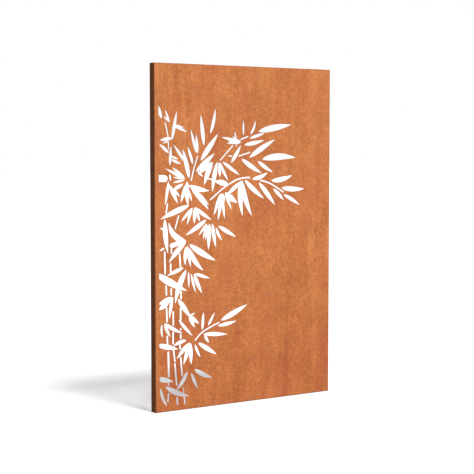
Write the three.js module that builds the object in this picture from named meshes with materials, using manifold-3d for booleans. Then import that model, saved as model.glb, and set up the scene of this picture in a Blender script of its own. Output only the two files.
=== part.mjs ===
// A free-standing garden screen: one sheet of weathering steel with a bamboo thicket cut through it.
// The blank is folded on all four sides into a shallow tray, open at the back. The folded corners
// are welded, and each side has three fixing holes with a nut welded behind every one of them.
//
// Millimetres. +X runs along the screen, +Y goes from its face to its back, +Z is up.
// The origin is on the floor, at the middle of the screen's width and depth.

import * as THREE from 'three';
import { mergeVertices } from 'three/addons/utils/BufferGeometryUtils.js';
import Module from 'manifold-3d';

const wasm = await Module();
wasm.setup();

// ---------------------------------------------------------------- driving dimensions

const WIDTH = 1100;
const HEIGHT = 1800;
const DEPTH = 50;

const SHEET = 2; // thickness of the steel
const BEND = 2; // inside radius of every fold
const LIP = 15; // return lip round the open back, measured from the outside
const BEND_STEPS = 4; // flats that make a quarter turn of a fold

const MARGIN = 25; // plain border that the bamboo never cuts into
const SQUARE = 5; // side of one square of the paper that the bamboo is drawn on

const HOLE = 9; // fixing holes in the two sides, for M8
const HOLE_INSET = 50; // from the top and bottom edges; a third hole is halfway
const HOLE_STEPS = 20; // flats round a hole or a bore
const END_STEPS = 3; // flats round the end of a culm
const FEWEST_STEPS = 4; // stations along the smallest leaf

const NUT_FLATS = 13; // M8 nut, across flats
const NUT_HEIGHT = 6.5;
const NUT_BORE = 6.8;

const ROOT_GAP = 0.5; // left between the ends of two folds, for the weld to run into
const SEAM = 3; // width of the welded mitre between two lips
const WELD_GAP = 0.3; // left between a weld and the sloping edges beside it

const DRAIN_WIDTH = 8; // slots in the bottom fold that let the rain out
const DRAIN_LENGTH = 30;
const DRAIN_INSET = 140; // from each side; a third slot is in the middle

const RUST = new THREE.MeshStandardMaterial({ color: 0xc47b4d, roughness: 0.85, metalness: 0.1 });
const WELD_RUST = new THREE.MeshStandardMaterial({ color: 0x8a5236, roughness: 0.8, metalness: 0.2 });
const NUT_RUST = new THREE.MeshStandardMaterial({ color: 0x5e4335, roughness: 0.7, metalness: 0.4 });

// Sizes that follow from the driving ones

const FOLD = BEND + SHEET; // outside radius of a fold
const NOTCH = SHEET + ROOT_GAP; // side of the square that is cut out between the ends of two folds
const halfWidth = WIDTH / 2;
const halfDepth = DEPTH / 2;
const SIDES = { left: -1, right: 1 };
const ENDS = { bottom: 0, top: 1 };

// ---------------------------------------------------------------- the bamboo
//
// The thicket is drawn on squared paper. x counts squares from the screen's left edge and z counts
// them from its bottom edge. A leaf is [base x, base z, tip x, tip z, width, bow]: it is widest
// nearer its base, and bow is how far its middle stands to the left of the straight line.

const LEAVES = {
  crownOfTheTallCulm: [
    [8.7, 303.5, 3.5, 319, 4.2], [18.5, 300, 10.5, 306, 2.5], [17.5, 301, 12.5, 313, 2.5],
    [20.5, 281.5, 26.5, 312, 4], [20.5, 283.5, 6.5, 281.5, 4], [17, 280, 9, 278.5, 1.5],
    [23.5, 297, 34.5, 294.5, 2.5], [23.5, 296, 39, 290, 3], [17, 268.5, 5.5, 278, 3.5],
  ],
  topLeftTuft: [
    [18, 255.5, 19.5, 276, 3.5], [19.5, 265, 28, 262, 2.5], [20, 261.5, 31, 257, 3],
    [37, 258, 22, 277.5, 3.5], [40.5, 242.5, 33, 273, 5.5, -0.5],
    [45, 256.5, 38.5, 275.5, 3.5, -0.5], [49.5, 268, 42.5, 293.5, 3.5], [51, 268, 49, 288, 3.5],
  ],
  uprightPair: [
    [58.5, 276, 54.6, 309, 4.8], [66, 288.5, 72.5, 315, 4, -1], [54.5, 260.5, 76, 289, 6],
    [49, 249.5, 71.5, 268.5, 6, -0.5], [68, 258.5, 51, 246.5, 5], [50.5, 249, 57.5, 243.5, 2.5],
    [69, 259, 58.5, 234.5, 6, -1],
  ],
  middleFan: [
    [74.5, 259, 68.5, 227, 5.5, -0.8], [77, 259, 77.8, 242.5, 4.3], [78.5, 258, 88.5, 239, 3.5, -1],
    [81, 259, 102.5, 244.5, 4], [87.5, 235.5, 71, 239, 6],
  ],
  archRootFan: [
    [78.5, 225.5, 70, 202, 4], [80, 222, 75, 196.5, 4], [80.5, 222, 83.5, 198.5, 3.5],
    [84, 225.5, 92.5, 208, 3.2], [84, 226.5, 99.5, 215.5, 6.5, -0.5], [102, 237, 85.5, 224, 4.5, 0.5],
    [80.5, 226, 80.5, 211, 7],
  ],
  archMiddleFan: [
    [103, 239, 106, 200.5, 6, -1.5], [105, 239.5, 118, 200.5, 6.3, -2.2],
    [108.5, 239.5, 133.5, 219, 5.3, -0.8], [126.5, 236.5, 147.8, 211.5, 5.5, 0.3],
    [118, 240.5, 138, 247.5, 4.5, -1.5], [142.5, 238.5, 170, 244, 5.5, -1.5],
  ],
  archTip: [
    [145, 229.5, 159, 216.5, 4, 0.5], [156, 230.5, 186, 229, 5.5, -1],
    [158.5, 223, 180, 211, 4, 0.5], [125, 259.5, 144.5, 247.5, 4.5, -0.5],
    [104.5, 262, 130, 246.5, 5.5, -0.5],
  ],
  topRightSpray: [
    [126, 291.2, 168.5, 298.8, 7, 0.5], [115, 284, 134, 289.5, 3.5], [115.5, 288, 122, 303.5, 3, -1.5],
    [107, 287, 107, 303.5, 2.5], [108, 277, 133.5, 282, 4.5, -0.5],
    [114.5, 263.5, 147.5, 283, 6, 0.5], [131, 261.5, 174.5, 263, 7.5, 2],
    [91.5, 258, 104, 277, 4.5, -0.5],
  ],
  topRightHub: [
    [103, 280, 79.5, 285, 3.5], [103, 280, 86, 278.5, 3], [104, 280, 88, 281, 5.5],
    [98, 281, 96, 292, 2], [98, 281, 93, 286.5, 2], [98, 280, 98, 274, 1.5],
  ],
  leftHandStar: [
    [35.5, 241.5, 12, 253, 3], [35.5, 241.5, 20.5, 254, 4], [35, 242, 21.5, 243.5, 2],
    [35, 240.5, 21, 238, 2.5],
  ],
  leftHandDroop: [
    [16.5, 239.5, 12.5, 214, 3.5], [17, 236, 27.5, 216, 4.5], [22.5, 231.5, 34, 237, 4, -0.5],
    [21.5, 231.5, 30, 223, 3],
  ],
  centreStar: [
    [37.5, 236.5, 30.5, 217, 4.5], [38.5, 239, 39.5, 213, 5.5, -1], [40, 230, 44, 217.5, 2.5],
    [40.3, 234.8, 65, 229, 5.3, -1.2], [42.3, 233.5, 64, 208.8, 5.8, 0.8], [46, 230, 64.5, 213.5, 4, 0.5],
    [40.5, 214, 6.5, 200.5, 6, -0.5],
  ],
  lowerCentreTuft: [
    [44.5, 211.5, 30.5, 197, 3.5], [44.5, 211.5, 38, 193.5, 3.5, -0.5],
    [47.5, 212, 68, 198, 4, -0.7], [47.5, 212, 46.5, 194.5, 4.5], [47.8, 211.5, 53.5, 196.5, 3.8],
  ],
  lowerCentreFan: [
    [61, 198.5, 36, 183, 5, 0.5], [62, 194.5, 51.5, 182, 3], [61.5, 194, 57, 177.5, 3],
    [62.5, 193, 60, 176.5, 3], [65, 194.5, 63.5, 166, 5], [68.5, 194.5, 73, 168.5, 4.5, -0.5],
    [73, 190, 80.5, 176, 3.5, -1], [75.5, 191.5, 98, 179, 4.5],
  ],
  leftMidLeaves: [
    [12, 200.5, 15.5, 164.5, 6, -1], [36.5, 177.5, 16.5, 198, 6.5, 5.5], [11.5, 189, 6, 192, 2],
    [36.5, 177, 22, 173, 5], [36.5, 176, 16, 155, 5.5, -1], [11.5, 171, 5.5, 168, 2.2],
    [33.5, 149.5, 14, 142, 4],
  ],
  bigMidFan: [
    [37, 171.5, 35.5, 151.5, 4.5, -0.5], [38.5, 172, 42.5, 149, 4, -0.3], [40.5, 169.5, 58, 145, 5.5, -2.5],
    [40.5, 173.5, 72.5, 155, 6.5, -0.8],
  ],
  smallMidFan: [
    [39.5, 145, 40, 127, 2.5], [42.5, 142.5, 48, 122, 3], [46, 142.5, 56, 121, 4.5, -0.5],
    [47, 142.5, 65.5, 136.5, 3.5],
  ],
  crossedLeaves: [
    [1.5, 145, 38, 125, 7.5, -1], [37, 147, 23.5, 112, 6.5, -2], [21.5, 118.5, 4, 113, 6.5],
    [16, 114.5, 4, 107, 5.5], [20.8, 119, 16.6, 96.5, 3.8, -0.5], [27, 117, 42.5, 96, 5.5],
    [40, 99.5, 52.5, 89.5, 4.5, -0.5], [40, 98, 47, 85.5, 4], [41, 99, 47.5, 101, 2],
  ],
  lowLeftLeaves: [
    [28, 95, 44.5, 77, 3.5, -0.5], [11, 93, 32.5, 81, 4, -1], [11, 92, 18, 78, 3.5, -0.5],
    [8, 92, 9, 77.5, 2.5, -1], [2, 71, 27, 64.5, 5.5], [36.5, 73, 21, 68, 4, -1],
  ],
  lowFan: [
    [41, 70, 25.2, 54, 4.8, -0.8], [41, 70, 33, 47, 5], [41.5, 70, 42.5, 46.5, 5],
    [47, 68, 54, 53, 3, -0.5], [51, 69, 73.5, 55, 5],
  ],
  lowSpray: [
    [56, 82.5, 57.5, 102, 3.5], [63, 86.5, 71.5, 100.5, 3], [75, 85.5, 98.5, 89, 4, -0.5],
    [79, 91, 112, 106, 6, -0.3], [57.5, 78, 87, 75.5, 4.5], [58.5, 77, 64, 68, 3.5],
  ],
  footLeaves: [
    [2, 36, 21, 31, 5.5], [38, 40, 24, 20.5, 4.5, 1], [12, 26.5, 40, 14, 5.5, -1.8],
    [46.5, 41.5, 68, 30.5, 5, -1], [42.5, 38, 51, 20, 3.5, -0.5], [6, 25.5, 14, 5.5, 3.5, -1.5],
  ],
};

// A length of culm is a straight bar with round ends: [x, z, x, z, width].

const CULMS = [
  [13, 299, 16, 285.5, 1.6], [16.5, 279, 16.5, 272.5, 1.4], [-4, 243, 12, 242.2, 7],
  [18, 245.5, 18.5, 241, 2], [15, 216, 13.5, 206.5, 1.8], [28, 203.5, 24, 190.5, 1.6],
  [30, 176, 20, 173, 5], [19.5, 169.5, 19.5, 165.5, 2], [11.5, 166.5, 12, 144.5, 2],
  [18.5, 154, 18.5, 146, 2], [29, 164, 30, 150.5, 2], [13, 131.5, 13.4, 122.4, 2],
  [19, 128, 19, 122.2, 2], [30.5, 124.5, 30.5, 117.5, 2], [13.5, 108.5, 14, 94.5, 2],
  [21.2, 104, 21.4, 90.5, 1.9], [30, 107, 30, 95, 2.2], [30, 85.5, 30, 85, 2],
  [14, 79, 14.5, 71, 2], [21, 82.5, 21, 71, 2], [30, 79.5, 30, 76, 2],
  [15.3, 62, 15.8, 37, 2.4], [21.5, 63.5, 23, 52.5, 2], [23, 49.5, 25, 27, 2],
  [30, 55, 31.5, 36.5, 2], [29, 68.5, 29.3, 65, 2], [15.2, 29.5, 15.5, 28, 1.8],
  [15.5, 19, 14.5, 11, 2], [25.5, 13.5, 26, 6.5, 2], [34, 13.5, 35, 5.5, 2],
  [33, 23, 33.3, 18.5, 1.6],
];

// A twig is a thin line through a few points, all of one width: [width, x, z, x, z, ...].

const TWIGS = [
  [1.6, 51, 265.5, 46.3, 252, 43, 239.5],
  [1.6, 65.5, 219, 72, 224, 81.5, 231, 90, 236, 100, 240.5, 110, 242, 115.5, 242],
  [1.6, 128, 239, 138, 236.5, 147.5, 232, 158.5, 225.5],
  [1.6, 103.5, 282.5, 113, 286],
  [1.6, 101, 265, 115.5, 269],
  [1.4, 88, 265, 93, 265],
  [1.6, 78, 260.5, 94, 276.5],
  [1.6, 47, 72, 54.5, 79, 64, 84, 77, 89],
  [1.4, 62.5, 242, 68, 240.5],
];

// ---------------------------------------------------------------- outlines drawn on the paper

// The outline of a blade that follows a curve, its half width given all along it.
function bladeShape(curve, halfWidthAt, stations) {
  const left = [];
  const right = [];
  for (const t of stations) {
    const middle = curve.getPoint(t);
    const along = curve.getTangent(t);
    const across = new THREE.Vector2(-along.y, along.x).multiplyScalar(halfWidthAt(t));
    left.push(middle.clone().add(across));
    if (across.length() > 0) right.unshift(middle.clone().sub(across));
  }
  return new THREE.Shape([...left, ...right]);
}

// Stations from 0 to 1 that lie closer together towards both ends
const closerAtTheEnds = (steps) =>
  Array.from({ length: steps + 1 }, (_, i) => (1 - Math.cos((Math.PI * i) / steps)) / 2);

function leafShape([x0, z0, x1, z1, width, bow = 0]) {
  const base = new THREE.Vector2(x0, z0).multiplyScalar(SQUARE);
  const tip = new THREE.Vector2(x1, z1).multiplyScalar(SQUARE);
  const middle = base.clone().lerp(tip, 0.5);
  const leftwards = tip.clone().sub(base).rotateAround(new THREE.Vector2(), Math.PI / 2).normalize();
  middle.addScaledVector(leftwards, 2 * bow * SQUARE); // the vein bows half as far as this point
  const vein = new THREE.QuadraticBezierCurve(base, middle, tip);

  // full and round near the base, drawn out to the tip; widest where t = rise / (rise + fall)
  const rise = 0.7;
  const fall = 1;
  const widest = rise / (rise + fall);
  const fullness = (t) => (t / widest) ** rise * ((1 - t) / (1 - widest)) ** fall;
  const halfWidthAt = (t) => (t <= 0 || t >= 1 ? 0 : (fullness(t) * width * SQUARE) / 2);

  const squaresLong = Math.hypot(x1 - x0, z1 - z0);
  const steps = Math.max(FEWEST_STEPS, Math.ceil(Math.sqrt(squaresLong)));
  return bladeShape(vein, halfWidthAt, closerAtTheEnds(steps));
}

function culmShape([x0, z0, x1, z1, width]) {
  const from = new THREE.Vector2(x0, z0).multiplyScalar(SQUARE);
  const to = new THREE.Vector2(x1, z1).multiplyScalar(SQUARE);
  const radius = (width * SQUARE) / 2;
  const angle = Math.atan2(to.y - from.y, to.x - from.x);
  const bar = new THREE.Shape();
  bar.absarc(to.x, to.y, radius, angle - Math.PI / 2, angle + Math.PI / 2);
  bar.absarc(from.x, from.y, radius, angle + Math.PI / 2, angle + (3 * Math.PI) / 2);
  return bar;
}

function twigShape([width, ...numbers]) {
  const points = [];
  for (let i = 0; i < numbers.length; i += 2) {
    points.push(new THREE.Vector2(numbers[i], numbers[i + 1]).multiplyScalar(SQUARE));
  }
  const stepsPerPoint = 3;
  const steps = stepsPerPoint * (points.length - 1);
  const even = Array.from({ length: steps + 1 }, (_, i) => i / steps);
  return bladeShape(new THREE.SplineCurve(points), () => (width * SQUARE) / 2, even);
}

// ---------------------------------------------------------------- solids

// A closed geometry as a solid that can be joined and cut
function solid(geometry) {
  const bare = geometry.clone();
  bare.deleteAttribute('normal');
  bare.deleteAttribute('uv');
  const merged = mergeVertices(bare);
  const mesh = new wasm.Mesh({
    numProp: 3,
    vertProperties: new Float32Array(merged.attributes.position.array),
    triVerts: new Uint32Array(merged.index.array),
  });
  return new wasm.Manifold(mesh);
}

function geometryOf(body) {
  const mesh = body.getMesh();
  const geometry = new THREE.BufferGeometry();
  geometry.setAttribute('position', new THREE.BufferAttribute(mesh.vertProperties, 3));
  geometry.setIndex(new THREE.BufferAttribute(mesh.triVerts, 1));
  geometry.computeVertexNormals();
  return geometry;
}

const box = (x0, y0, z0, x1, y1, z1) =>
  new THREE.BoxGeometry(x1 - x0, y1 - y0, z1 - z0)
    .translate((x0 + x1) / 2, (y0 + y1) / 2, (z0 + z1) / 2);

// An outline in the plane of the face (x, z), drawn out from y0 back to y1
const throughFace = (shape, y0, y1) =>
  new THREE.ExtrudeGeometry(shape, { depth: y1 - y0, bevelEnabled: false, curveSegments: END_STEPS })
    .rotateX(Math.PI / 2)
    .translate(0, y1, 0);

// A rectangle with rounded corners, from one corner to the other
function roundedRectangle(x0, y0, x1, y1, radius) {
  const shape = new THREE.Shape();
  shape.absarc(x1 - radius, y0 + radius, radius, -Math.PI / 2, 0);
  shape.absarc(x1 - radius, y1 - radius, radius, 0, Math.PI / 2);
  shape.absarc(x0 + radius, y1 - radius, radius, Math.PI / 2, Math.PI);
  shape.absarc(x0 + radius, y0 + radius, radius, Math.PI, 1.5 * Math.PI);
  return shape;
}

// A block whose long edges are all rounded, as folds round them, set in by the same amount all over
function foldedBlock(inset, radius) {
  const settings = { bevelEnabled: false, curveSegments: BEND_STEPS };
  const side = halfWidth - inset;
  const back = halfDepth - inset;
  const top = HEIGHT - inset;

  const plan = roundedRectangle(-side, -back, side, back, radius);
  const upright = new THREE.ExtrudeGeometry(plan, { ...settings, depth: top - inset });
  upright.translate(0, 0, inset);

  const profile = roundedRectangle(inset, -back, top, back, radius);
  const across = new THREE.ExtrudeGeometry(profile, { ...settings, depth: 2 * side });
  const zAlongX = new THREE.Matrix4().makeBasis(
    new THREE.Vector3(0, 0, 1),
    new THREE.Vector3(0, 1, 0),
    new THREE.Vector3(-1, 0, 0),
  );
  across.applyMatrix4(zAlongX).translate(side, 0, 0);
  return solid(upright).intersect(solid(across));
}

// ---------------------------------------------------------------- the cut and folded sheet

function foldedTray() {
  const opening = box(
    -halfWidth + LIP, 0, LIP,
    halfWidth - LIP, DEPTH, HEIGHT - LIP,
  );
  return foldedBlock(0, FOLD).subtract(foldedBlock(SHEET, BEND)).subtract(solid(opening));
}

// Everything that the laser takes out of the face, kept inside the plain border
function bamboo() {
  const outlines = [
    ...Object.values(LEAVES).flat().map(leafShape),
    ...CULMS.map(culmShape),
    ...TWIGS.map(twigShape),
  ];
  const window = box(
    MARGIN, -DEPTH, MARGIN,
    WIDTH - MARGIN, 0, HEIGHT - MARGIN,
  );
  const cuts = outlines
    .map((outline) => solid(throughFace(outline, -DEPTH, 0)))
    .reduce((all, cut) => all.add(cut));
  return cuts.intersect(solid(window)).translate([-halfWidth, 0, 0]);
}

const holeHeights = { bottom: HOLE_INSET, middle: HEIGHT / 2, top: HEIGHT - HOLE_INSET };

// One drill through both sides at each height
function fixingHoles() {
  return Object.values(holeHeights).map((z) => {
    const drill = new THREE.CylinderGeometry(HOLE / 2, HOLE / 2, 2 * WIDTH, HOLE_STEPS);
    return solid(drill.rotateZ(Math.PI / 2).translate(0, 0, z));
  });
}

function drainSlots() {
  const reach = halfWidth - DRAIN_INSET;
  return [-reach, 0, reach].map((x) => {
    const slot = new THREE.Shape();
    const straight = (DRAIN_LENGTH - DRAIN_WIDTH) / 2;
    slot.absarc(x + straight, 0, DRAIN_WIDTH / 2, -Math.PI / 2, Math.PI / 2);
    slot.absarc(x - straight, 0, DRAIN_WIDTH / 2, Math.PI / 2, 1.5 * Math.PI);
    const settings = { depth: 2 * LIP, bevelEnabled: false, curveSegments: HOLE_STEPS / 2 };
    return solid(new THREE.ExtrudeGeometry(slot, settings).translate(0, 0, -LIP));
  });
}

// ---------------------------------------------------------------- the corners

// Each corner of the tray, with the way out from its middle: across, and up or down
const CORNERS = [];
for (const [end, atTop] of Object.entries(ENDS)) {
  for (const [side, outwards] of Object.entries(SIDES)) {
    CORNERS.push({ name: `${end}_${side}`, outwards, upwards: atTop ? 1 : -1, z: atTop * HEIGHT });
  }
}

// The two folds at a corner meet edge to edge, and the square between their ends is open
function cornerNotch({ outwards, upwards, z }) {
  const x = outwards * halfWidth;
  const xIn = x - outwards * NOTCH;
  const zIn = z - upwards * NOTCH;
  return solid(box(
    Math.min(x, xIn), -halfDepth + FOLD, Math.min(z, zIn),
    Math.max(x, xIn), halfDepth - FOLD, Math.max(z, zIn),
  ));
}

// The lips meet on a slanting seam that runs in from the corner
function seamOutline({ outwards, upwards, z }, from, to, width) {
  const at = (along, across) => new THREE.Vector2(
    outwards * (halfWidth - along - across),
    z - upwards * (along - across),
  );
  const aside = width / 2 / Math.SQRT2;
  return new THREE.Shape([
    at(from, -aside), at(to, -aside), at(to, aside), at(from, aside),
  ]);
}

const lipSeam = (corner) =>
  solid(throughFace(seamOutline(corner, FOLD, LIP + SEAM, SEAM), halfDepth - SHEET, DEPTH));

// ---------------------------------------------------------------- the pieces

function cutSheet() {
  const cutters = [
    bamboo(),
    ...fixingHoles(),
    ...drainSlots(),
    ...CORNERS.map(cornerNotch),
    ...CORNERS.map(lipSeam),
  ];
  const tray = cutters.reduce((rest, cutter) => rest.subtract(cutter), foldedTray());
  const sheet = new THREE.Mesh(geometryOf(tray), RUST);
  sheet.name = 'cut_sheet';
  return sheet;
}

// A quarter round bead that fills the notch from the front fold to the back one
function cornerWeld(corner) {
  const { name, outwards, upwards, z } = corner;
  const root = new THREE.Vector2(outwards * (halfWidth - NOTCH), z - upwards * NOTCH);
  const round = Array.from({ length: BEND_STEPS + 1 }, (_, i) => {
    const turn = ((Math.PI / 2) * i) / BEND_STEPS;
    const out = new THREE.Vector2(outwards * Math.cos(turn), upwards * Math.sin(turn));
    return root.clone().addScaledVector(out, NOTCH);
  });
  const bead = new THREE.Shape([root, ...round]);
  const geometry = throughFace(bead, -halfDepth + FOLD, halfDepth - FOLD);
  const weld = new THREE.Mesh(geometry, WELD_RUST);
  weld.name = `corner_weld_${name}`;
  return weld;
}

// The bead that closes the slanting seam, ground flush with the lips
function lipWeld(corner) {
  const from = FOLD + WELD_GAP;
  const to = LIP - SEAM / 2;
  const outline = seamOutline(corner, from, to, SEAM - 2 * WELD_GAP);
  const weld = new THREE.Mesh(throughFace(outline, halfDepth - SHEET, halfDepth), WELD_RUST);
  weld.name = `lip_weld_${corner.name}`;
  return weld;
}

function weldNut(side, outwards, level, z) {
  const toCorner = NUT_FLATS / 2 / Math.cos(Math.PI / 6);
  const corners = Array.from({ length: 6 }, (_, i) =>
    new THREE.Vector2(toCorner, 0).rotateAround(new THREE.Vector2(), (i * Math.PI) / 3));
  const nut = new THREE.Shape(corners);
  const bore = new THREE.Path();
  bore.absarc(0, 0, NUT_BORE / 2, 0, 2 * Math.PI);
  nut.holes.push(bore);
  const settings = { depth: NUT_HEIGHT, bevelEnabled: false, curveSegments: HOLE_STEPS };
  const mesh = new THREE.Mesh(new THREE.ExtrudeGeometry(nut, settings), NUT_RUST);
  const inner = outwards * (halfWidth - SHEET);
  mesh.rotation.y = Math.PI / 2;
  mesh.position.set(outwards > 0 ? inner - NUT_HEIGHT : inner, 0, z);
  mesh.name = `weld_nut_${side}_${level}`;
  return mesh;
}

const screen = new THREE.Group();
screen.add(cutSheet());
for (const corner of CORNERS) {
  screen.add(cornerWeld(corner), lipWeld(corner));
}
for (const [side, outwards] of Object.entries(SIDES)) {
  for (const [level, z] of Object.entries(holeHeights)) {
    screen.add(weldNut(side, outwards, level, z));
  }
}

export default screen;
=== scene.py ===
# A garden screen of weathering steel: one laser cut and folded sheet, its welds and its weld nuts.
# Metres. +X runs along the screen, +Y goes from its face to its back, +Z is up.

import math

import bmesh
import bpy
from mathutils import Matrix, Vector
from mathutils.geometry import delaunay_2d_cdt


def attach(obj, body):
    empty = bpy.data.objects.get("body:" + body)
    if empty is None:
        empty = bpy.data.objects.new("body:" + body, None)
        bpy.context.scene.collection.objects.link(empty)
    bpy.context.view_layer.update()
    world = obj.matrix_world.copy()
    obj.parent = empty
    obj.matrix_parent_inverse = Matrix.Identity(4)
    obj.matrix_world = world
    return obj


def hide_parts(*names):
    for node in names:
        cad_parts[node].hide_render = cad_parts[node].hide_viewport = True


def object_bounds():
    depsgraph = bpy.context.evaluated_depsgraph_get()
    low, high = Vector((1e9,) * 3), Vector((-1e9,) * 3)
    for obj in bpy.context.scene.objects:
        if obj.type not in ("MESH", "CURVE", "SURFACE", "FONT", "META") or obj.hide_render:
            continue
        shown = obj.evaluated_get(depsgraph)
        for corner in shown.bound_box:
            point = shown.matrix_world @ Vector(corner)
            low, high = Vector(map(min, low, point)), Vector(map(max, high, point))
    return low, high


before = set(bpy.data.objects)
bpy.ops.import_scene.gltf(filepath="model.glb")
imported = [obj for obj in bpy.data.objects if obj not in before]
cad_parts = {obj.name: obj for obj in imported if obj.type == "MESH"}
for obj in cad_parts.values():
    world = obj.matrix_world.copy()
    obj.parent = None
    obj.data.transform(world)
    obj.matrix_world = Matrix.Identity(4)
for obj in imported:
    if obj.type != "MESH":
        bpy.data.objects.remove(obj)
cad_low, cad_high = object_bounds()


# ------------------------------------------------------------------ the cut and folded sheet
# One sheet of 2 mm weathering steel. A laser cuts the bamboo, the fixing holes and the drain slots
# in the flat blank, then all four sides are folded back, with a narrow lip round the open back.

MM = 0.001
HALF_WIDTH = cad_high.x
HALF_DEPTH = cad_high.y
HEIGHT = cad_high.z

SHEET = 2 * MM  # thickness of the steel
BEND = 2 * MM  # inside radius of every fold
FOLD = BEND + SHEET  # outside radius of every fold
LIP = 15 * MM  # return lip, measured from the outside
BEND_STEPS = 10  # flats that make a quarter turn of a fold

MARGIN = 25 * MM  # plain border that the bamboo never cuts into
SQUARE = 5 * MM  # side of one square of the grid that the bamboo is laid out on

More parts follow.
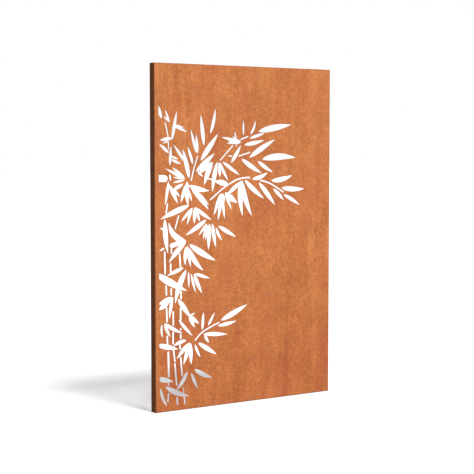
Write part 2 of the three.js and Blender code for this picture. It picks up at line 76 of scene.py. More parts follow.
# x counts squares from the screen's left edge and z counts them from its bottom edge. A leaf is
# [base x, base z, tip x, tip z, width, bow]: it is widest nearer its base, and bow is how far its
# middle stands to the left of the straight line.
LEAVES = {
    "crown_of_the_tall_culm": [
        [8.7, 303.5, 3.5, 319, 4.2], [18.5, 300, 10.5, 306, 2.5], [17.5, 301, 12.5, 313, 2.5],
        [20.5, 281.5, 26.5, 312, 4], [20.5, 283.5, 6.5, 281.5, 4], [17, 280, 9, 278.5, 1.5],
        [23.5, 297, 34.5, 294.5, 2.5], [23.5, 296, 39, 290, 3], [17, 268.5, 5.5, 278, 3.5],
    ],
    "top_left_tuft": [
        [18, 255.5, 19.5, 276, 3.5], [19.5, 265, 28, 262, 2.5], [20, 261.5, 31, 257, 3],
        [37, 258, 22, 277.5, 3.5], [40.5, 242.5, 33, 273, 5.5, -0.5],
        [45, 256.5, 38.5, 275.5, 3.5, -0.5], [49.5, 268, 42.5, 293.5, 3.5], [51, 268, 49, 288, 3.5],
    ],
    "upright_pair": [
        [58.5, 276, 54.6, 309, 4.8], [66, 288.5, 72.5, 315, 4, -1], [54.5, 260.5, 76, 289, 6],
        [49, 249.5, 71.5, 268.5, 6, -0.5], [68, 258.5, 51, 246.5, 5], [50.5, 249, 57.5, 243.5, 2.5],
        [69, 259, 58.5, 234.5, 6, -1],
    ],
    "middle_fan": [
        [74.5, 259, 68.5, 227, 5.5, -0.8], [77, 259, 77.8, 242.5, 4.3],
        [78.5, 258, 88.5, 239, 3.5, -1], [81, 259, 102.5, 244.5, 4], [87.5, 235.5, 71, 239, 6],
    ],
    "arch_root_fan": [
        [78.5, 225.5, 70, 202, 4], [80, 222, 75, 196.5, 4], [80.5, 222, 83.5, 198.5, 3.5],
        [84, 225.5, 92.5, 208, 3.2], [84, 226.5, 99.5, 215.5, 6.5, -0.5],
        [102, 237, 85.5, 224, 4.5, 0.5], [80.5, 226, 80.5, 211, 7],
    ],
    "arch_middle_fan": [
        [103, 239, 106, 200.5, 6, -1.5], [105, 239.5, 118, 200.5, 6.3, -2.2],
        [108.5, 239.5, 133.5, 219, 5.3, -0.8], [126.5, 236.5, 147.8, 211.5, 5.5, 0.3],
        [118, 240.5, 138, 247.5, 4.5, -1.5], [142.5, 238.5, 170, 244, 5.5, -1.5],
    ],
    "arch_tip": [
        [145, 229.5, 159, 216.5, 4, 0.5], [156, 230.5, 186, 229, 5.5, -1],
        [158.5, 223, 180, 211, 4, 0.5], [125, 259.5, 144.5, 247.5, 4.5, -0.5],
        [104.5, 262, 130, 246.5, 5.5, -0.5],
    ],
    "top_right_spray": [
        [126, 291.2, 168.5, 298.8, 7, 0.5], [115, 284, 134, 289.5, 3.5],
        [115.5, 288, 122, 303.5, 3, -1.5], [107, 287, 107, 303.5, 2.5],
        [108, 277, 133.5, 282, 4.5, -0.5], [114.5, 263.5, 147.5, 283, 6, 0.5],
        [131, 261.5, 174.5, 263, 7.5, 2], [91.5, 258, 104, 277, 4.5, -0.5],
    ],
    "top_right_hub": [
        [103, 280, 79.5, 285, 3.5], [103, 280, 86, 278.5, 3], [104, 280, 88, 281, 5.5],
        [98, 281, 96, 292, 2], [98, 281, 93, 286.5, 2], [98, 280, 98, 274, 1.5],
    ],
    "left_hand_star": [
        [35.5, 241.5, 12, 253, 3], [35.5, 241.5, 20.5, 254, 4], [35, 242, 21.5, 243.5, 2],
        [35, 240.5, 21, 238, 2.5],
    ],
    "left_hand_droop": [
        [16.5, 239.5, 12.5, 214, 3.5], [17, 236, 27.5, 216, 4.5], [22.5, 231.5, 34, 237, 4, -0.5],
        [21.5, 231.5, 30, 223, 3],
    ],
    "centre_star": [
        [37.5, 236.5, 30.5, 217, 4.5], [38.5, 239, 39.5, 213, 5.5, -1], [40, 230, 44, 217.5, 2.5],
        [40.3, 234.8, 65, 229, 5.3, -1.2], [42.3, 233.5, 64, 208.8, 5.8, 0.8],
        [46, 230, 64.5, 213.5, 4, 0.5], [40.5, 214, 6.5, 200.5, 6, -0.5],
    ],
    "lower_centre_tuft": [
        [44.5, 211.5, 30.5, 197, 3.5], [44.5, 211.5, 38, 193.5, 3.5, -0.5],
        [47.5, 212, 68, 198, 4, -0.7], [47.5, 212, 46.5, 194.5, 4.5],
        [47.8, 211.5, 53.5, 196.5, 3.8],
    ],
    "lower_centre_fan": [
        [61, 198.5, 36, 183, 5, 0.5], [62, 194.5, 51.5, 182, 3], [61.5, 194, 57, 177.5, 3],
        [62.5, 193, 60, 176.5, 3], [65, 194.5, 63.5, 166, 5], [68.5, 194.5, 73, 168.5, 4.5, -0.5],
        [73, 190, 80.5, 176, 3.5, -1], [75.5, 191.5, 98, 179, 4.5],
    ],
    "left_mid_leaves": [
        [12, 200.5, 15.5, 164.5, 6, -1], [36.5, 177.5, 16.5, 198, 6.5, 5.5], [11.5, 189, 6, 192, 2],
        [36.5, 177, 22, 173, 5], [36.5, 176, 16, 155, 5.5, -1], [11.5, 171, 5.5, 168, 2.2],
        [33.5, 149.5, 14, 142, 4],
    ],
    "big_mid_fan": [
        [37, 171.5, 35.5, 151.5, 4.5, -0.5], [38.5, 172, 42.5, 149, 4, -0.3],
        [40.5, 169.5, 58, 145, 5.5, -2.5], [40.5, 173.5, 72.5, 155, 6.5, -0.8],
    ],
    "small_mid_fan": [
        [39.5, 145, 40, 127, 2.5], [42.5, 142.5, 48, 122, 3], [46, 142.5, 56, 121, 4.5, -0.5],
        [47, 142.5, 65.5, 136.5, 3.5],
    ],
    "crossed_leaves": [
        [1.5, 145, 38, 125, 7.5, -1], [37, 147, 23.5, 112, 6.5, -2], [21.5, 118.5, 4, 113, 6.5],
        [16, 114.5, 4, 107, 5.5], [20.8, 119, 16.6, 96.5, 3.8, -0.5], [27, 117, 42.5, 96, 5.5],
        [40, 99.5, 52.5, 89.5, 4.5, -0.5], [40, 98, 47, 85.5, 4], [41, 99, 47.5, 101, 2],
    ],
    "low_left_leaves": [
        [28, 95, 44.5, 77, 3.5, -0.5], [11, 93, 32.5, 81, 4, -1], [11, 92, 18, 78, 3.5, -0.5],
        [8, 92, 9, 77.5, 2.5, -1], [2, 71, 27, 64.5, 5.5], [36.5, 73, 21, 68, 4, -1],
    ],
    "low_fan": [
        [41, 70, 25.2, 54, 4.8, -0.8], [41, 70, 33, 47, 5], [41.5, 70, 42.5, 46.5, 5],
        [47, 68, 54, 53, 3, -0.5], [51, 69, 73.5, 55, 5],
    ],
    "low_spray": [
        [56, 82.5, 57.5, 102, 3.5], [63, 86.5, 71.5, 100.5, 3], [75, 85.5, 98.5, 89, 4, -0.5],
        [79, 91, 112, 106, 6, -0.3], [57.5, 78, 87, 75.5, 4.5], [58.5, 77, 64, 68, 3.5],
    ],
    "foot_leaves": [
        [2, 36, 21, 31, 5.5], [38, 40, 24, 20.5, 4.5, 1], [12, 26.5, 40, 14, 5.5, -1.8],
        [46.5, 41.5, 68, 30.5, 5, -1], [42.5, 38, 51, 20, 3.5, -0.5], [6, 25.5, 14, 5.5, 3.5, -1.5],
    ],
}

# A length of culm is a straight bar with round ends: [x, z, x, z, width].
CULMS = [
    [13, 299, 16, 285.5, 1.6], [16.5, 279, 16.5, 272.5, 1.4], [-4, 243, 12, 242.2, 7],
    [18, 245.5, 18.5, 241, 2], [15, 216, 13.5, 206.5, 1.8], [28, 203.5, 24, 190.5, 1.6],
    [30, 176, 20, 173, 5], [19.5, 169.5, 19.5, 165.5, 2], [11.5, 166.5, 12, 144.5, 2],
    [18.5, 154, 18.5, 146, 2], [29, 164, 30, 150.5, 2], [13, 131.5, 13.4, 122.4, 2],
    [19, 128, 19, 122.2, 2], [30.5, 124.5, 30.5, 117.5, 2], [13.5, 108.5, 14, 94.5, 2],
    [21.2, 104, 21.4, 90.5, 1.9], [30, 107, 30, 95, 2.2], [30, 85.5, 30, 85, 2],
    [14, 79, 14.5, 71, 2], [21, 82.5, 21, 71, 2], [30, 79.5, 30, 76, 2], [15.3, 62, 15.8, 37, 2.4],
    [21.5, 63.5, 23, 52.5, 2], [23, 49.5, 25, 27, 2], [30, 55, 31.5, 36.5, 2],
    [29, 68.5, 29.3, 65, 2], [15.2, 29.5, 15.5, 28, 1.8], [15.5, 19, 14.5, 11, 2],
    [25.5, 13.5, 26, 6.5, 2], [34, 13.5, 35, 5.5, 2], [33, 23, 33.3, 18.5, 1.6],
]

# A twig is a thin line through a few points, all of one width: [width, x, z, x, z, ...].
TWIGS = [
    [1.6, 51, 265.5, 46.3, 252, 43, 239.5],
    [1.6, 65.5, 219, 72, 224, 81.5, 231, 90, 236, 100, 240.5, 110, 242, 115.5, 242],
    [1.6, 128, 239, 138, 236.5, 147.5, 232, 158.5, 225.5], [1.6, 103.5, 282.5, 113, 286],
    [1.6, 101, 265, 115.5, 269], [1.4, 88, 265, 93, 265], [1.6, 78, 260.5, 94, 276.5],
    [1.6, 47, 72, 54.5, 79, 64, 84, 77, 89], [1.4, 62.5, 242, 68, 240.5],
]


def blade_outline(points, tangents, half_widths):
    """The outline round a line of points, counterclockwise, with its half width at each of them"""
    left, right = [], []
    for point, tangent, half_width in zip(points, tangents, half_widths):
        across = Vector((-tangent.y, tangent.x)).normalized() * half_width
        left.append(point + across)
        right.append(point - across)
    ends = [0] if half_widths[0] == 0 else []
    ends += [len(points) - 1] if half_widths[-1] == 0 else []
    return right + [p for i, p in reversed(list(enumerate(left))) if i not in ends]


def leaf_outline(base_x, base_z, tip_x, tip_z, width, bow=0):
    base = Vector((base_x, base_z)) * SQUARE
    tip = Vector((tip_x, tip_z)) * SQUARE
    along = (tip - base).normalized()
    leftwards = Vector((-along.y, along.x))
    control = (base + tip) / 2 + leftwards * 2 * bow * SQUARE  # the vein bows half as far

    # full and round near the base, drawn out to the tip; widest where t = rise / (rise + fall)
    rise, fall = 0.7, 1
    widest = rise / (rise + fall)
    steps = 22
    stations = [(1 - math.cos(math.pi * i / steps)) / 2 for i in range(steps + 1)]
    points, tangents, half_widths = [], [], []
    for i, t in enumerate(stations):
        points.append((1 - t) ** 2 * base + 2 * t * (1 - t) * control + t**2 * tip)
        tangents.append((1 - t) * (control - base) + t * (tip - control))
        fullness = (t / widest) ** rise * ((1 - t) / (1 - widest)) ** fall
        half_widths.append(fullness * width * SQUARE / 2 if 0 < i < steps else 0)
    return blade_outline(points, tangents, half_widths)


def bar_outline(start, end, radius, steps=8):
    """A straight bar with round ends, counterclockwise"""
    along = (end - start).normalized()
    turn = math.atan2(along.y, along.x) - math.pi / 2
    outline = []
    for middle, first in ((end, turn), (start, turn + math.pi)):
        for i in range(steps + 1):
            angle = first + math.pi * i / steps
            outline.append(middle + Vector((math.cos(angle), math.sin(angle))) * radius)
    return outline


def twig_outline(width, *numbers):
    knots = [Vector(pair) * SQUARE for pair in zip(numbers[::2], numbers[1::2])]
    padded = [knots[0], *knots, knots[-1]]
    points, steps = [], 6
    for p0, p1, p2, p3 in zip(padded, padded[1:], padded[2:], padded[3:]):
        for i in range(steps):
            t = i / steps
            a, b = (p2 - p0) / 2, (p3 - p1) / 2
            points.append(
                (2 * t**3 - 3 * t**2 + 1) * p1 + (t**3 - 2 * t**2 + t) * a
                + (3 * t**2 - 2 * t**3) * p2 + (t**3 - t**2) * b
            )
    points.append(knots[-1])
    tangents = [q - p for p, q in zip(points, points[1:])]
    tangents.append(tangents[-1])
    return blade_outline(points, tangents, [width * SQUARE / 2] * len(points))


def add_prism(bm, outline, place, depth):
    """A closed prism: place puts a point of the outline in space, and depth is the way through"""
    near = [bm.verts.new(place(point)) for point in outline]
    far = [bm.verts.new(place(point) + depth) for point in outline]
    bm.faces.new(near)
    bm.faces.new(reversed(far))
    for i, corner in enumerate(near):
        after = (i + 1) % len(near)
        bm.faces.new((near[after], corner, far[i], far[after]))


def add_bamboo(bm):
    """All that the laser takes out of the face as one closed body: the overlapping outlines joined"""
    width, height = 2 * HALF_WIDTH, HEIGHT
    outlines = [[
        Vector((MARGIN, MARGIN)), Vector((width - MARGIN, MARGIN)),
        Vector((width - MARGIN, height - MARGIN)), Vector((MARGIN, height - MARGIN)),
    ]]
    outlines += [leaf_outline(*leaf) for spray in LEAVES.values() for leaf in spray]
    for x0, z0, x1, z1, culm_width in CULMS:
        ends = Vector((x0, z0)) * SQUARE, Vector((x1, z1)) * SQUARE
        outlines.append(bar_outline(*ends, culm_width * SQUARE / 2))
    outlines += [twig_outline(*twig) for twig in TWIGS]

    points, faces = [], []
    for outline in outlines:
        faces.append(list(range(len(points), len(points) + len(outline))))
        points += outline
    triangles_only, nearness = 1, 1e-6
    joined = delaunay_2d_cdt(points, [], faces, triangles_only, nearness, True)
    corners, triangles, sources = joined[0], joined[2], joined[5]

    front, back = -HALF_DEPTH - SHEET, -HALF_DEPTH + 2 * SHEET
    start = len(bm.verts)
    sides = []
    for y in (front, back):
        sides.append([bm.verts.new((p.x - HALF_WIDTH, y, p.y)) for p in corners])
    edges = {}
    for triangle, inside in zip(triangles, sources):
        if 0 not in inside or len(inside) < 2:
            continue
        bm.faces.new([sides[0][i] for i in triangle])
        bm.faces.new([sides[1][i] for i in reversed(triangle)])
        for i, j in zip(triangle, triangle[1:] + triangle[:1]):
            edges[(i, j)] = True
    for i, j in edges:
        if (j, i) not in edges:
            bm.faces.new((sides[0][j], sides[0][i], sides[1][i], sides[1][j]))
    bm.verts.ensure_lookup_table()
    loose = [v for v in bm.verts[start:] if not v.link_faces]
    bmesh.ops.delete(bm, geom=loose, context="VERTS")


CORNERS = [  # name, the way out along X, and z of the edge with the way out along Z
    ("bottom_left", -1, 0, -1), ("bottom_right", 1, 0, -1),
    ("top_left", -1, HEIGHT, 1), ("top_right", 1, HEIGHT, 1),
]
ROOT_GAP = 0.5 * MM  # left between the ends of two folds, for the weld to run into
NOTCH = SHEET + ROOT_GAP
SEAM = 3 * MM  # width of the welded mitre between two lips


def corner_point(corner, along, aside):
    """A point on the slanting seam of a corner: so far in from both edges, and so far aside"""
    _, outwards, edge, upwards = corner
    x = outwards * (HALF_WIDTH - along - aside)
    return Vector((x, edge - upwards * (along - aside)))


def in_the_face(y):
    return lambda point: Vector((point.x, y, point.y))


def counterclockwise(outline):
    turns = zip(outline, outline[1:] + outline[:1])
    area = sum(a.x * b.y - b.x * a.y for a, b in turns)
    return outline if area > 0 else outline[::-1]


def rectangle(x0, z0, x1, z1):
    return counterclockwise([Vector(p) for p in ((x0, z0), (x1, z0), (x1, z1), (x0, z1))])


HOLE = 9 * MM  # fixing holes for M8
HOLE_STEPS = 48  # flats that make a hole round
HOLE_INSET = 50 * MM
HOLE_HEIGHTS = {"bottom": HOLE_INSET, "middle": HEIGHT / 2, "top": HEIGHT - HOLE_INSET}
DRAIN_WIDTH = 8 * MM
DRAIN_LENGTH = 30 * MM
DRAIN_INSET = 140 * MM


def closed_mesh(bm, name):
    """The finished mesh, with all its faces turned outwards"""
    bmesh.ops.recalc_face_normals(bm, faces=bm.faces)
    mesh = bpy.data.meshes.new(name)
    bm.to_mesh(mesh)
    bm.free()
    return mesh


def cutter_mesh():
    """What is taken out of the folded tray: bamboo, holes, slots, corner notches and lip seams"""
    bm = bmesh.new()
    add_bamboo(bm)
    along_x = Matrix.Rotation(math.pi / 2, 4, "Y")
    for z in HOLE_HEIGHTS.values():
        for side in (-1, 1):
            middle = Matrix.Translation((side * HALF_WIDTH, 0, z)) @ along_x
            bmesh.ops.create_cone(
                bm, cap_ends=True, segments=HOLE_STEPS, radius1=HOLE / 2, radius2=HOLE / 2,
                depth=4 * SHEET, matrix=middle,
            )
    reach = HALF_WIDTH - DRAIN_INSET
    straight = Vector(((DRAIN_LENGTH - DRAIN_WIDTH) / 2, 0))
    for x in (-reach, 0, reach):
        middle = Vector((x, 0))
        slot = bar_outline(middle - straight, middle + straight, DRAIN_WIDTH / 2, steps=14)
        add_prism(bm, slot, lambda p: Vector((p.x, p.y, -SHEET)), Vector((0, 0, 3 * SHEET)))
    for corner in CORNERS:
        _, outwards, edge, upwards = corner
        notch = rectangle(
            outwards * (HALF_WIDTH + SHEET), edge + upwards * SHEET,
            outwards * (HALF_WIDTH - NOTCH), edge - upwards * NOTCH,
        )
        flat_depth = 2 * (HALF_DEPTH - FOLD)
        add_prism(bm, notch, in_the_face(-HALF_DEPTH + FOLD), Vector((0, flat_depth, 0)))
        aside = SEAM / 2 / math.sqrt(2)
        ends = (FOLD, -aside), (LIP + SEAM, -aside), (LIP + SEAM, aside), (FOLD, aside)
        seam = counterclockwise([corner_point(corner, *end) for end in ends])
        add_prism(bm, seam, in_the_face(HALF_DEPTH - SHEET), Vector((0, 2 * SHEET, 0)))
    return closed_mesh(bm, "cutter")


def arc(middle_inset, middle_y, radius, start, end):
    """Points (inset from the side, y) of a fold, its angle measured from the way out"""
    steps = range(BEND_STEPS + 1)
    turns = [math.radians(start + (end - start) * i / BEND_STEPS) for i in steps]
    return [(middle_inset - radius * math.cos(a), middle_y + radius * math.sin(a)) for a in turns]


# The rounded front folds take a darker rust, which is painted shade along the screen's edges
INSIDE, FRONT_FOLD = 1, 2  # places of their finishes among the tray's; 0 is the outside


def tray_mesh():
    """The folded tray without its cut-outs: one profile carried round all four sides, mitred"""
    front, back = -HALF_DEPTH + FOLD, HALF_DEPTH - FOLD
    outside = arc(FOLD, front, FOLD, -90, 0) + arc(FOLD, back, FOLD, 0, 90)
    lip = [(LIP, HALF_DEPTH), (LIP, HALF_DEPTH - SHEET)]
    inside = arc(FOLD, back, BEND, 90, 0) + arc(FOLD, front, BEND, 0, -90)
    profile = outside + lip + inside
    bm = bmesh.new()
    rings = []
    for inset, y in profile:
        x, low, high = HALF_WIDTH - inset, inset, HEIGHT - inset
        places = ((-x, y, low), (x, y, low), (x, y, high), (-x, y, high))
        rings.append([bm.verts.new(place) for place in places])
    for number, (ring, following) in enumerate(zip(rings, rings[1:])):
        for i in range(4):
            j = (i + 1) % 4
            face = bm.faces.new((ring[j], ring[i], following[i], following[j]))
            if number > len(outside):
                face.material_index = INSIDE
            elif number < BEND_STEPS:
                face.material_index = FRONT_FOLD
    bm.faces.new(rings[0])
    bm.faces.new(reversed(rings[-1])).material_index = INSIDE
    return closed_mesh(bm, "cut_sheet")


def add_node(tree, kind, inputs=None, **settings):
    """A node with its settings, its inputs given as values or as the outputs of other nodes"""
    node = tree.nodes.new(kind)
    for name, value in settings.items():
        setattr(node, name, value)
    for name, value in (inputs or {}).items():
        if isinstance(value, bpy.types.NodeSocket):
            tree.links.new(value, node.inputs[name])
        else:
            node.inputs[name].default_value = value
    return node


def colour_mix(tree, share, first, second, **settings):
    """The share of the second colour in the first; a Mix node has its colours in these sockets"""
    inputs = {0: share, 6: first, 7: second}
    return add_node(tree, "ShaderNodeMix", inputs, data_type="RGBA", **settings).outputs[2]


def clouds(tree, per_metre, detail=3, squeeze=(1, 1, 1), roughness=0.55):
    """Soft noise of so many blotches to the metre, drawn out along the axes that are squeezed"""
    place = add_node(tree, "ShaderNodeTexCoord").outputs["Object"]
    scaled = add_node(tree, "ShaderNodeMapping", {"Vector": place, "Scale": squeeze})
    noise = add_node(tree, "ShaderNodeTexNoise", {
        "Vector": scaled.outputs["Vector"], "Scale": per_metre,
        "Detail": detail, "Roughness": roughness,
    })
    return noise.outputs["Fac"]


def between(tree, value, low, high):
    """0 at low, 1 at high, and a smooth change between them"""
    return add_node(
        tree, "ShaderNodeMapRange",
        {"Value": value, "From Min": low, "From Max": high}, interpolation_type="SMOOTHSTEP",
    ).outputs["Result"]


def together(tree, *weighted):
    """A half, plus each cloud's swing about a half times its weight"""
    total = 0.5 - sum(weight for _, weight in weighted) / 2
    for value, weight in weighted:
        total = add_node(
            tree, "ShaderNodeMath", {0: value, 1: weight, 2: total}, operation="MULTIPLY_ADD",
        ).outputs["Value"]
    return total


def three_tones(tree, value, dark, middle, light):
    """Dark up to a quarter, the middle tone at a half, and light from three quarters on"""
    ramp = add_node(tree, "ShaderNodeValToRGB", {"Fac": value})
    ramp.color_ramp.elements[0].position = 0.25
    ramp.color_ramp.elements[0].color = (*dark, 1)
    ramp.color_ramp.elements[1].position = 0.75
    ramp.color_ramp.elements[1].color = (*light, 1)
    ramp.color_ramp.elements.new(0.5).color = (*middle, 1)
    return ramp.outputs["Color"]


def deeper(tree, colour, red, green, blue):
    """The colour with so much of its red, green and blue left"""
    return colour_mix(tree, 1.0, colour, (red, green, blue, 1), blend_type="MULTIPLY")


def height_in_place(tree):
    """Metres over the floor: every piece's own origin is the frame's"""
    place = add_node(tree, "ShaderNodeTexCoord").outputs["Object"]
    return add_node(tree, "ShaderNodeSeparateXYZ", {"Vector": place}).outputs["Z"]


def new_finish(name):
    """A material, with its nodes and the shader among them"""
    material = bpy.data.materials.new(name)
    material.use_nodes = True
    tree = material.node_tree
    return material, tree, tree.nodes["Principled BSDF"]


def ranged(tree, value, low, high):
    """Low where the value is 0, and high where it is 1"""
    inputs = {"Value": value, "To Min": low, "To Max": high}
    return add_node(tree, "ShaderNodeMapRange", inputs).outputs["Result"]


def add_relief(tree, shader, height, strength, distance):
    inputs = {"Height": height, "Strength": strength, "Distance": distance}
    bump = add_node(tree, "ShaderNodeBump", inputs)
    tree.links.new(bump.outputs["Normal"], shader.inputs["Normal"])


def weathered_steel(name, dark, middle, light, scale_tone, scale_share):
    """Rust on sheet steel: run-off bands, blotches, mottle, pits, patches of mill scale, and painted
    shade near the floor
    """
    material, tree, shader = new_finish(name)
    bands = clouds(tree, 19, detail=2, squeeze=(1, 1, 0.05))
    streaks = clouds(tree, 55, detail=2, squeeze=(1, 1, 0.12))
    blotches = clouds(tree, 10, detail=4, squeeze=(1, 1, 0.7))
    mottle = clouds(tree, 48, detail=3)
    speckle = clouds(tree, 125, detail=6, roughness=0.62)
    grain = clouds(tree, 1400, detail=4, roughness=0.7)
    tone = together(
        tree, (bands, 0.45), (streaks, 0.2), (blotches, 0.6),
        (mottle, 0.65), (speckle, 1.15), (grain, 0.6),
    )
    colour = three_tones(tree, tone, dark, middle, light)

    redness = between(tree, clouds(tree, 6, detail=3, squeeze=(1, 1, 0.4)), 0.42, 0.66)
    reddish = colour_mix(tree, 0.22, colour, (0.56, 0.11, 0.06, 1))
    colour = colour_mix(tree, redness, colour, reddish)
    patches = together(tree, (clouds(tree, 24, detail=6), 1), (bands, 0.4))
    scale = between(tree, patches, 0.58, 0.72)
    share = add_node(tree, "ShaderNodeMath", {0: scale, 1: scale_share}, operation="MULTIPLY")
    colour = colour_mix(tree, share.outputs["Value"], colour, scale_tone)
    pits = between(tree, clouds(tree, 105, detail=1, squeeze=(1, 1, 0.8)), 0.69, 0.77)
    colour = colour_mix(tree, pits, colour, deeper(tree, colour, 0.62, 0.62, 0.66))
    # Painted shade: the colour grows darker from the upper height down to the lower one
    unshaded_height, deepest_shade_height = 0.9, 0.15  # metres over the floor
    low_painted_shade = between(tree, height_in_place(tree), unshaded_height, deepest_shade_height)
    colour = colour_mix(tree, low_painted_shade, colour, deeper(tree, colour, 0.89, 0.82, 0.8))

    tree.links.new(colour, shader.inputs["Base Color"])
    tree.links.new(ranged(tree, tone, 0.68, 0.96), shader.inputs["Roughness"])
    shader.inputs["Specular IOR Level"].default_value = 0.4
    relief = together(tree, (grain, 0.5), (clouds(tree, 420, detail=4), 0.8), (speckle, 0.7))
    add_relief(tree, shader, relief, strength=0.75, distance=0.5 * MM)
    return material


open_rust = weathered_steel(
    "open_rust", (0.44, 0.125, 0.030), (0.59, 0.189, 0.050), (0.74, 0.275, 0.082),
    scale_tone=(0.42, 0.135, 0.068, 1), scale_share=0.45,
)
# Painted shade: a darker rust, with more mill scale, for the rounded front folds round the face
fold_painted_shade_rust = weathered_steel(
    "fold_painted_shade_rust", (0.23, 0.076, 0.028), (0.33, 0.11, 0.038), (0.50, 0.175, 0.062),
    scale_tone=(0.14, 0.07, 0.045, 1), scale_share=0.7,
)
sheltered_rust = weathered_steel(
    "sheltered_rust", (0.27, 0.082, 0.032), (0.43, 0.142, 0.054), (0.60, 0.225, 0.088),
    scale_tone=(0.15, 0.082, 0.06, 1), scale_share=0.8,
)


def laser_cut_edge():
    """The edge that the laser leaves: darker, with fine drag lines from the face to the back"""
    material, tree, shader = new_finish("laser_cut_edge")
    drag_lines = clouds(tree, 1600, detail=1, squeeze=(1, 0.06, 1))
    blotches = clouds(tree, 130, detail=4)
    tone = together(tree, (drag_lines, 0.8), (blotches, 0.9))
    colour = three_tones(tree, tone, (0.07, 0.03, 0.018), (0.15, 0.06, 0.03), (0.27, 0.105, 0.045))
    tree.links.new(colour, shader.inputs["Base Color"])
    shader.inputs["Roughness"].default_value = 0.7
    add_relief(tree, shader, drag_lines, strength=0.6, distance=0.1 * MM)
    return material


def finished_mesh(piece):
    """The mesh as its modifiers leave it"""
    seen = piece.evaluated_get(bpy.context.evaluated_depsgraph_get())
    return bpy.data.meshes.new_from_object(seen)


def show(name, mesh, smooth_below=30):
    """A piece in the scene, smooth but for edges that turn more than so many degrees"""
    mesh.shade_smooth()
    mesh.set_sharp_from_angle(angle=math.radians(smooth_below))
    piece = bpy.data.objects.new(name, mesh)
    bpy.context.scene.collection.objects.link(piece)
    return piece


cutter = bpy.data.objects.new("cutter", cutter_mesh())
cutter.data.materials.append(laser_cut_edge())
tray = bpy.data.objects.new("tray", tray_mesh())
for finish in (open_rust, sheltered_rust, fold_painted_shade_rust):
    tray.data.materials.append(finish)
for tool in (cutter, tray):
    bpy.context.scene.collection.objects.link(tool)
cut = tray.modifiers.new("cut", "BOOLEAN")
cut.operation = "DIFFERENCE"
cut.solver = "MANIFOLD"
cut.material_mode = "TRANSFER"
cut.object = cutter
sheet_mesh = finished_mesh(tray)
for tool in (cutter, tray):
    bpy.data.objects.remove(tool)

sheet = show("folded_sheet", sheet_mesh)
normals = sheet.modifiers.new("normals", "WEIGHTED_NORMAL")
normals.keep_sharp = True
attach(sheet, "root")
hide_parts("cut_sheet")


# ------------------------------------------------------------------ corner welds
# Where two folded sides meet, the welder has run one bead from the front fold to the back one. It
# fills the open square between their ends with a quarter round of overlapping ripples.

RIPPLE = 1.5 * MM  # from one ripple to the next
RIPPLE_DEPTH = 0.25 * MM
RIPPLE_BOW = 1.1 * MM  # how far the middle of a ripple runs ahead of its ends
RIPPLE_SHAPE = 0.7  # below 1, a ripple rises fast behind its step and levels out to its crest
BEAD_END = 2.5 * MM  # length over which the bead swells at its start and dies at its end
BEAD_END_SIZE = 0.72  # of its full radius, at its very ends
WANDER = 0.3 * RIPPLE_DEPTH  # slow rise and fall of the whole bead
WANDER_PACE = 0.37  # radians of it to a ripple


def add_rings(bm, rings):
    """A skin over rings of as many points each"""
    verts = [[bm.verts.new(point) for point in ring] for ring in rings]
    for ring, following in zip(verts, verts[1:]):
        for i, vert in enumerate(ring):
            j = (i + 1) % len(ring)
            bm.faces.new((vert, ring[j], following[j], following[i]))
    return verts


def add_bar(bm, rings):
    """The same, closed at both ends"""
    verts = add_rings(bm, rings)
    bm.faces.new(verts[0])
    bm.faces.new(reversed(verts[-1]))


def corner_bead_mesh(corner):
    _, outwards, edge, upwards = corner
    root_x = outwards * (HALF_WIDTH - NOTCH)
    root_z = edge - upwards * NOTCH
    length = 2 * (HALF_DEPTH - FOLD)
    steps, steps_round = 200, 12
    rows = []
    for i in range(steps + 1):
        along = length * i / steps
        y = along - length / 2
        from_end = min(along, length - along) / BEAD_END
        rise = math.sin(min(from_end, 1) * math.pi / 2)
        swell = BEAD_END_SIZE + (1 - BEAD_END_SIZE) * rise
        row = [(root_x, y, root_z)]
        for j in range(steps_round + 1):
            aside = 2 * j / steps_round - 1
            phase = (along - RIPPLE_BOW * (1 - aside**2)) / RIPPLE
            crest = (phase % 1) ** RIPPLE_SHAPE
            wander = 0.5 + 0.5 * math.sin(phase * WANDER_PACE + outwards + 2 * upwards)
            radius = swell * NOTCH - RIPPLE_DEPTH * (1 - crest) - WANDER * wander
            turn = math.pi / 2 * j / steps_round
            x = root_x + outwards * radius * math.cos(turn)
            row.append((x, y, root_z + upwards * radius * math.sin(turn)))
        rows.append(row)
    bm = bmesh.new()
    add_bar(bm, rows)
    return closed_mesh(bm, "corner_bead")


def weld_metal():
    """Weld metal rusts darker than the sheet, with orange left in its hollows"""
    material, tree, shader = new_finish("weld_metal")
    spots = clouds(tree, 160, detail=4)
    grain = clouds(tree, 900, detail=3)
    tone = together(tree, (spots, 0.9), (grain, 0.6))
    colour = three_tones(tree, tone, (0.12, 0.048, 0.026), (0.25, 0.085, 0.037), (0.46, 0.16, 0.06))
    tree.links.new(colour, shader.inputs["Base Color"])
    tree.links.new(ranged(tree, tone, 0.55, 0.9), shader.inputs["Roughness"])
    add_relief(tree, shader, grain, strength=0.5, distance=0.15 * MM)
    return material


weld_rust = weld_metal()
for corner in CORNERS:
    bead = show("corner_bead_" + corner[0], corner_bead_mesh(corner), smooth_below=50)
    bead.data.materials.append(weld_rust)
    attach(bead, "root")
    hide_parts("corner_weld_" + corner[0])


# ------------------------------------------------------------------ lip welds
# At the back the lips meet on a slant. A short bead of the same metal closes each of these seams. It
# is ground flush with the lips, which leaves it flat on top, with a faint hollow along both edges.

LIP_BEAD_END = LIP - SEAM / 2
EDGE_HOLLOW = 0.3 * MM
SAME_POINT = 0.001 * MM  # points of the square end that are nearer than this become one


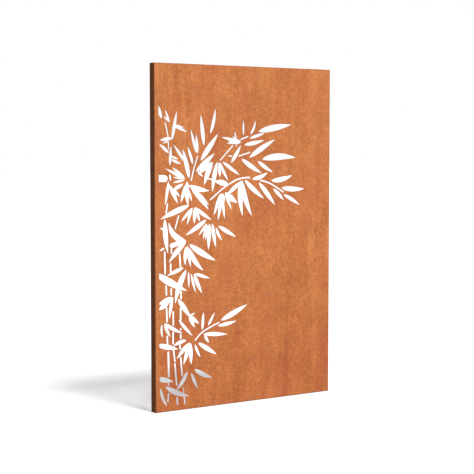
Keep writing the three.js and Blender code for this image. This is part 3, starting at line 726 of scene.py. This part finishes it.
def lip_bead_mesh(corner):
    """A bar along the seam with a round inner end, its rims eased"""
    rims = [
        (HALF_DEPTH - SHEET, EDGE_HOLLOW), (HALF_DEPTH - SHEET + EDGE_HOLLOW, 0),
        (HALF_DEPTH - EDGE_HOLLOW, 0), (HALF_DEPTH, EDGE_HOLLOW),
    ]
    rings = []
    for y, inset in rims:
        radius = SEAM / 2 - inset
        reach = (LIP_BEAD_END - FOLD) * math.sqrt(2) - SEAM / 2
        outline = bar_outline(Vector((inset, 0)), Vector((reach, 0)), radius, steps=10)
        square_end = [p if p.x > inset else Vector((inset, p.y)) for p in outline]
        ring = []
        for point in square_end:
            along = FOLD + point.x / math.sqrt(2)
            place = corner_point(corner, along, point.y / math.sqrt(2))
            ring.append((place.x, y, place.y))
        rings.append(ring)
    bm = bmesh.new()
    add_bar(bm, rings)
    bmesh.ops.remove_doubles(bm, verts=bm.verts, dist=SAME_POINT)
    return closed_mesh(bm, "lip_bead")


for corner in CORNERS:
    bead = show("lip_bead_" + corner[0], lip_bead_mesh(corner))
    bead.data.materials.append(weld_rust)
    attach(bead, "root")
    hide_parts("lip_weld_" + corner[0])


# ------------------------------------------------------------------ weld nuts
# Behind each fixing hole sits an M8 hexagon nut, its free end chamfered and its bore threaded. It is
# tacked to the inside of the fold with a small blob of weld on three of its flats.

NUT_FLATS = 13 * MM
NUT_HEIGHT = 6.5 * MM
NUT_BORE = 6.8 * MM
THREAD = 8 * MM
THREAD_PITCH = 1.25 * MM
NUT_CHAMFER = math.radians(30)
NUT_RIM = 0.3 * MM  # from the round face of the free end out to the middle of a flat
CHAMFER_STEPS = [1.2, 0.8, 0.6, 0.45, 0.3, 0.15, 0]  # millimetres below the free end
TACK_LENGTH = 4.5 * MM
TACK_RADIUS = 1.6 * MM
TACK_RISE = 0.4 * TACK_RADIUS  # of its middle over the sheet
TACK_RIPPLE = 0.05 * MM


def hexagon(turn):
    """From the middle to the edge of the nut, with two corners up and down"""
    return NUT_FLATS / 2 / math.cos((turn + math.pi / 6) % (math.pi / 3) - math.pi / 6)


def nut_mesh():
    """The nut on its axis, which runs along Z from the fold to the free end"""
    bm = bmesh.new()
    steps_round = 48
    turns = [2 * math.pi * i / steps_round for i in range(steps_round)]

    def ring(z, radius_at):
        return [(radius_at(a) * math.sin(a), radius_at(a) * math.cos(a), z) for a in turns]

    def trimmed(below_end):
        cone = NUT_FLATS / 2 - NUT_RIM + below_end / math.tan(NUT_CHAMFER)
        return lambda turn: min(hexagon(turn - math.pi / 6), cone)

    def threaded(z):
        def radius_at(turn):
            phase = (z / THREAD_PITCH - turn / (2 * math.pi)) % 1
            return NUT_BORE / 2 + (THREAD - NUT_BORE) / 2 * (1 - abs(2 * phase - 1))
        return radius_at

    rings = [ring(0, trimmed(NUT_HEIGHT))]
    rings += [ring(NUT_HEIGHT - below * MM, trimmed(below * MM)) for below in CHAMFER_STEPS]
    thread_steps = 42
    for i in range(thread_steps + 1):
        z = NUT_HEIGHT * (1 - i / thread_steps)
        rings.append(ring(z, threaded(z)))
    verts = add_rings(bm, rings)
    for i, vert in enumerate(verts[-1]):
        j = (i + 1) % steps_round
        bm.faces.new((vert, verts[-1][j], verts[0][j], verts[0][i]))

    at_a_flat = Matrix.Translation((0, NUT_FLATS / 2, TACK_RISE))
    size = Matrix.Diagonal((TACK_LENGTH / 2, TACK_RADIUS, TACK_RADIUS, 1))
    for tack_turn in (0, 2 * math.pi / 3, 4 * math.pi / 3):
        place = Matrix.Rotation(tack_turn, 4, "Z") @ at_a_flat @ size
        tack = bmesh.ops.create_icosphere(bm, subdivisions=3, radius=1, matrix=place)
        for vert in tack["verts"]:
            vert.co.z = max(vert.co.z, 0)
            across, outwards = vert.co.x * math.cos(tack_turn) / MM, vert.co.y / MM
            vert.co.z = max(0, vert.co.z + TACK_RIPPLE * math.sin(across * 4 + outwards * 3))
        for face in {face for vert in tack["verts"] for face in vert.link_faces}:
            face.material_index = 1
    return closed_mesh(bm, "nut")


def nut_metal():
    """Plain steel gone brown, with some bare metal left on it"""
    material, tree, shader = new_finish("nut_metal")
    spots = clouds(tree, 210, detail=5)
    grain = clouds(tree, 1300, detail=2)
    tone = together(tree, (spots, 1), (grain, 0.4))
    colour = three_tones(tree, tone, (0.07, 0.045, 0.035), (0.11, 0.06, 0.04), (0.30, 0.11, 0.045))
    tree.links.new(colour, shader.inputs["Base Color"])
    rusty = between(tree, tone, 0.45, 0.6)
    tree.links.new(ranged(tree, rusty, 0.8, 0.1), shader.inputs["Metallic"])
    tree.links.new(ranged(tree, rusty, 0.42, 0.88), shader.inputs["Roughness"])
    add_relief(tree, shader, tone, strength=0.4, distance=0.1 * MM)
    return material


nut_steel = nut_metal()
for side, outwards in (("left", -1), ("right", 1)):
    for level, z in HOLE_HEIGHTS.items():
        mesh = nut_mesh()
        seat = Vector((outwards * (HALF_WIDTH - SHEET), 0, z))
        turned = Matrix.Rotation(-outwards * math.pi / 2, 4, "Y")
        mesh.transform(Matrix.Translation(seat) @ turned)
        nut = show(f"nut_{side}_{level}", mesh)
        nut.data.materials.append(nut_steel)
        nut.data.materials.append(weld_rust)
        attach(nut, "root")
        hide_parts(f"weld_nut_{side}_{level}")


# ------------------------------------------------------------------ the studio
# A pale floor with the screen's soft shadow on it, a high soft lamp from the front and a little to
# the right, a wide weak one low in front, and one from behind, so that the open back shows too.


def soft_lamp(name, strength, softness, height, aside):
    """A lamp far away, in degrees: its width, its height over the floor, and the way round to it
    from straight in front, to the right"""
    height, aside = math.radians(height), math.radians(aside)
    lamp = bpy.data.lights.new(name, "SUN")
    lamp.energy = strength
    lamp.angle = math.radians(softness)
    holder = bpy.data.objects.new(name, lamp)
    towards = Vector((
        math.sin(aside) * math.cos(height), -math.cos(aside) * math.cos(height), math.sin(height),
    ))
    holder.rotation_mode = "QUATERNION"
    holder.rotation_quaternion = towards.to_track_quat("Z", "Y")
    bpy.context.scene.collection.objects.link(holder)


soft_lamp("key", strength=4.4, softness=14, height=60, aside=13)
soft_lamp("front_fill", strength=1.05, softness=60, height=20, aside=25)
soft_lamp("back_fill", strength=1.5, softness=40, height=35, aside=160)


def seen_directly(tree):
    """1 for what the camera sees, itself or in gloss or glass, and 0 for light on the object"""
    path = add_node(tree, "ShaderNodeLightPath")
    first = add_node(tree, "ShaderNodeMath", {
        0: path.outputs["Is Camera Ray"], 1: path.outputs["Is Glossy Ray"],
    }, operation="MAXIMUM")
    return add_node(tree, "ShaderNodeMath", {
        0: first.outputs["Value"], 1: path.outputs["Is Transmission Ray"],
    }, operation="MAXIMUM").outputs["Value"]


world = bpy.data.worlds.new("studio")
world.use_nodes = True
bpy.context.scene.world = world
air = world.node_tree
AMBIENT = 0.04
strength = ranged(air, seen_directly(air), AMBIENT, 1)
air.links.new(strength, air.nodes["Background"].inputs["Strength"])
air.nodes["Background"].inputs["Color"].default_value = (1, 1, 1, 1)

FLOOR_REACH = 60
bpy.ops.mesh.primitive_plane_add(size=2 * FLOOR_REACH)
floor = bpy.context.object
floor.name = "floor"
pale, tree, shader = new_finish("pale_floor")
tree.nodes.remove(shader)
seen = add_node(tree, "ShaderNodeBsdfDiffuse", {"Color": (0.52, 0.52, 0.52, 1)})
glow = add_node(tree, "ShaderNodeEmission", {"Color": (0.98, 0.98, 1, 1), "Strength": 0.38})
both = add_node(tree, "ShaderNodeAddShader", {0: seen.outputs[0], 1: glow.outputs[0]})
unseen = add_node(tree, "ShaderNodeBsdfDiffuse", {"Color": (0.06, 0.06, 0.06, 1)})
either = add_node(tree, "ShaderNodeMixShader", {
    0: seen_directly(tree), 1: unseen.outputs[0], 2: both.outputs[0],
})
tree.links.new(either.outputs[0], tree.nodes["Material Output"].inputs["Surface"])
floor.data.materials.append(pale)

# The camera stands where the photograph was taken from, and looks so many degrees down and aside
CAMERA_PLACE = (-3.3733, -5.4106, 1.364)
CAMERA_DOWN, CAMERA_ASIDE = 4.243, 31.629
camera_data = bpy.data.cameras.new("camera")
camera_data.sensor_width = 36
camera_data.lens = 90.4
camera_data.clip_end = 200
camera = bpy.data.objects.new("camera", camera_data)
camera.location = CAMERA_PLACE
camera.rotation_euler = (math.radians(90 - CAMERA_DOWN), 0, math.radians(-CAMERA_ASIDE))
bpy.context.scene.collection.objects.link(camera)
bpy.context.scene.camera = camera
bpy.context.scene.view_settings.view_transform = "Standard"
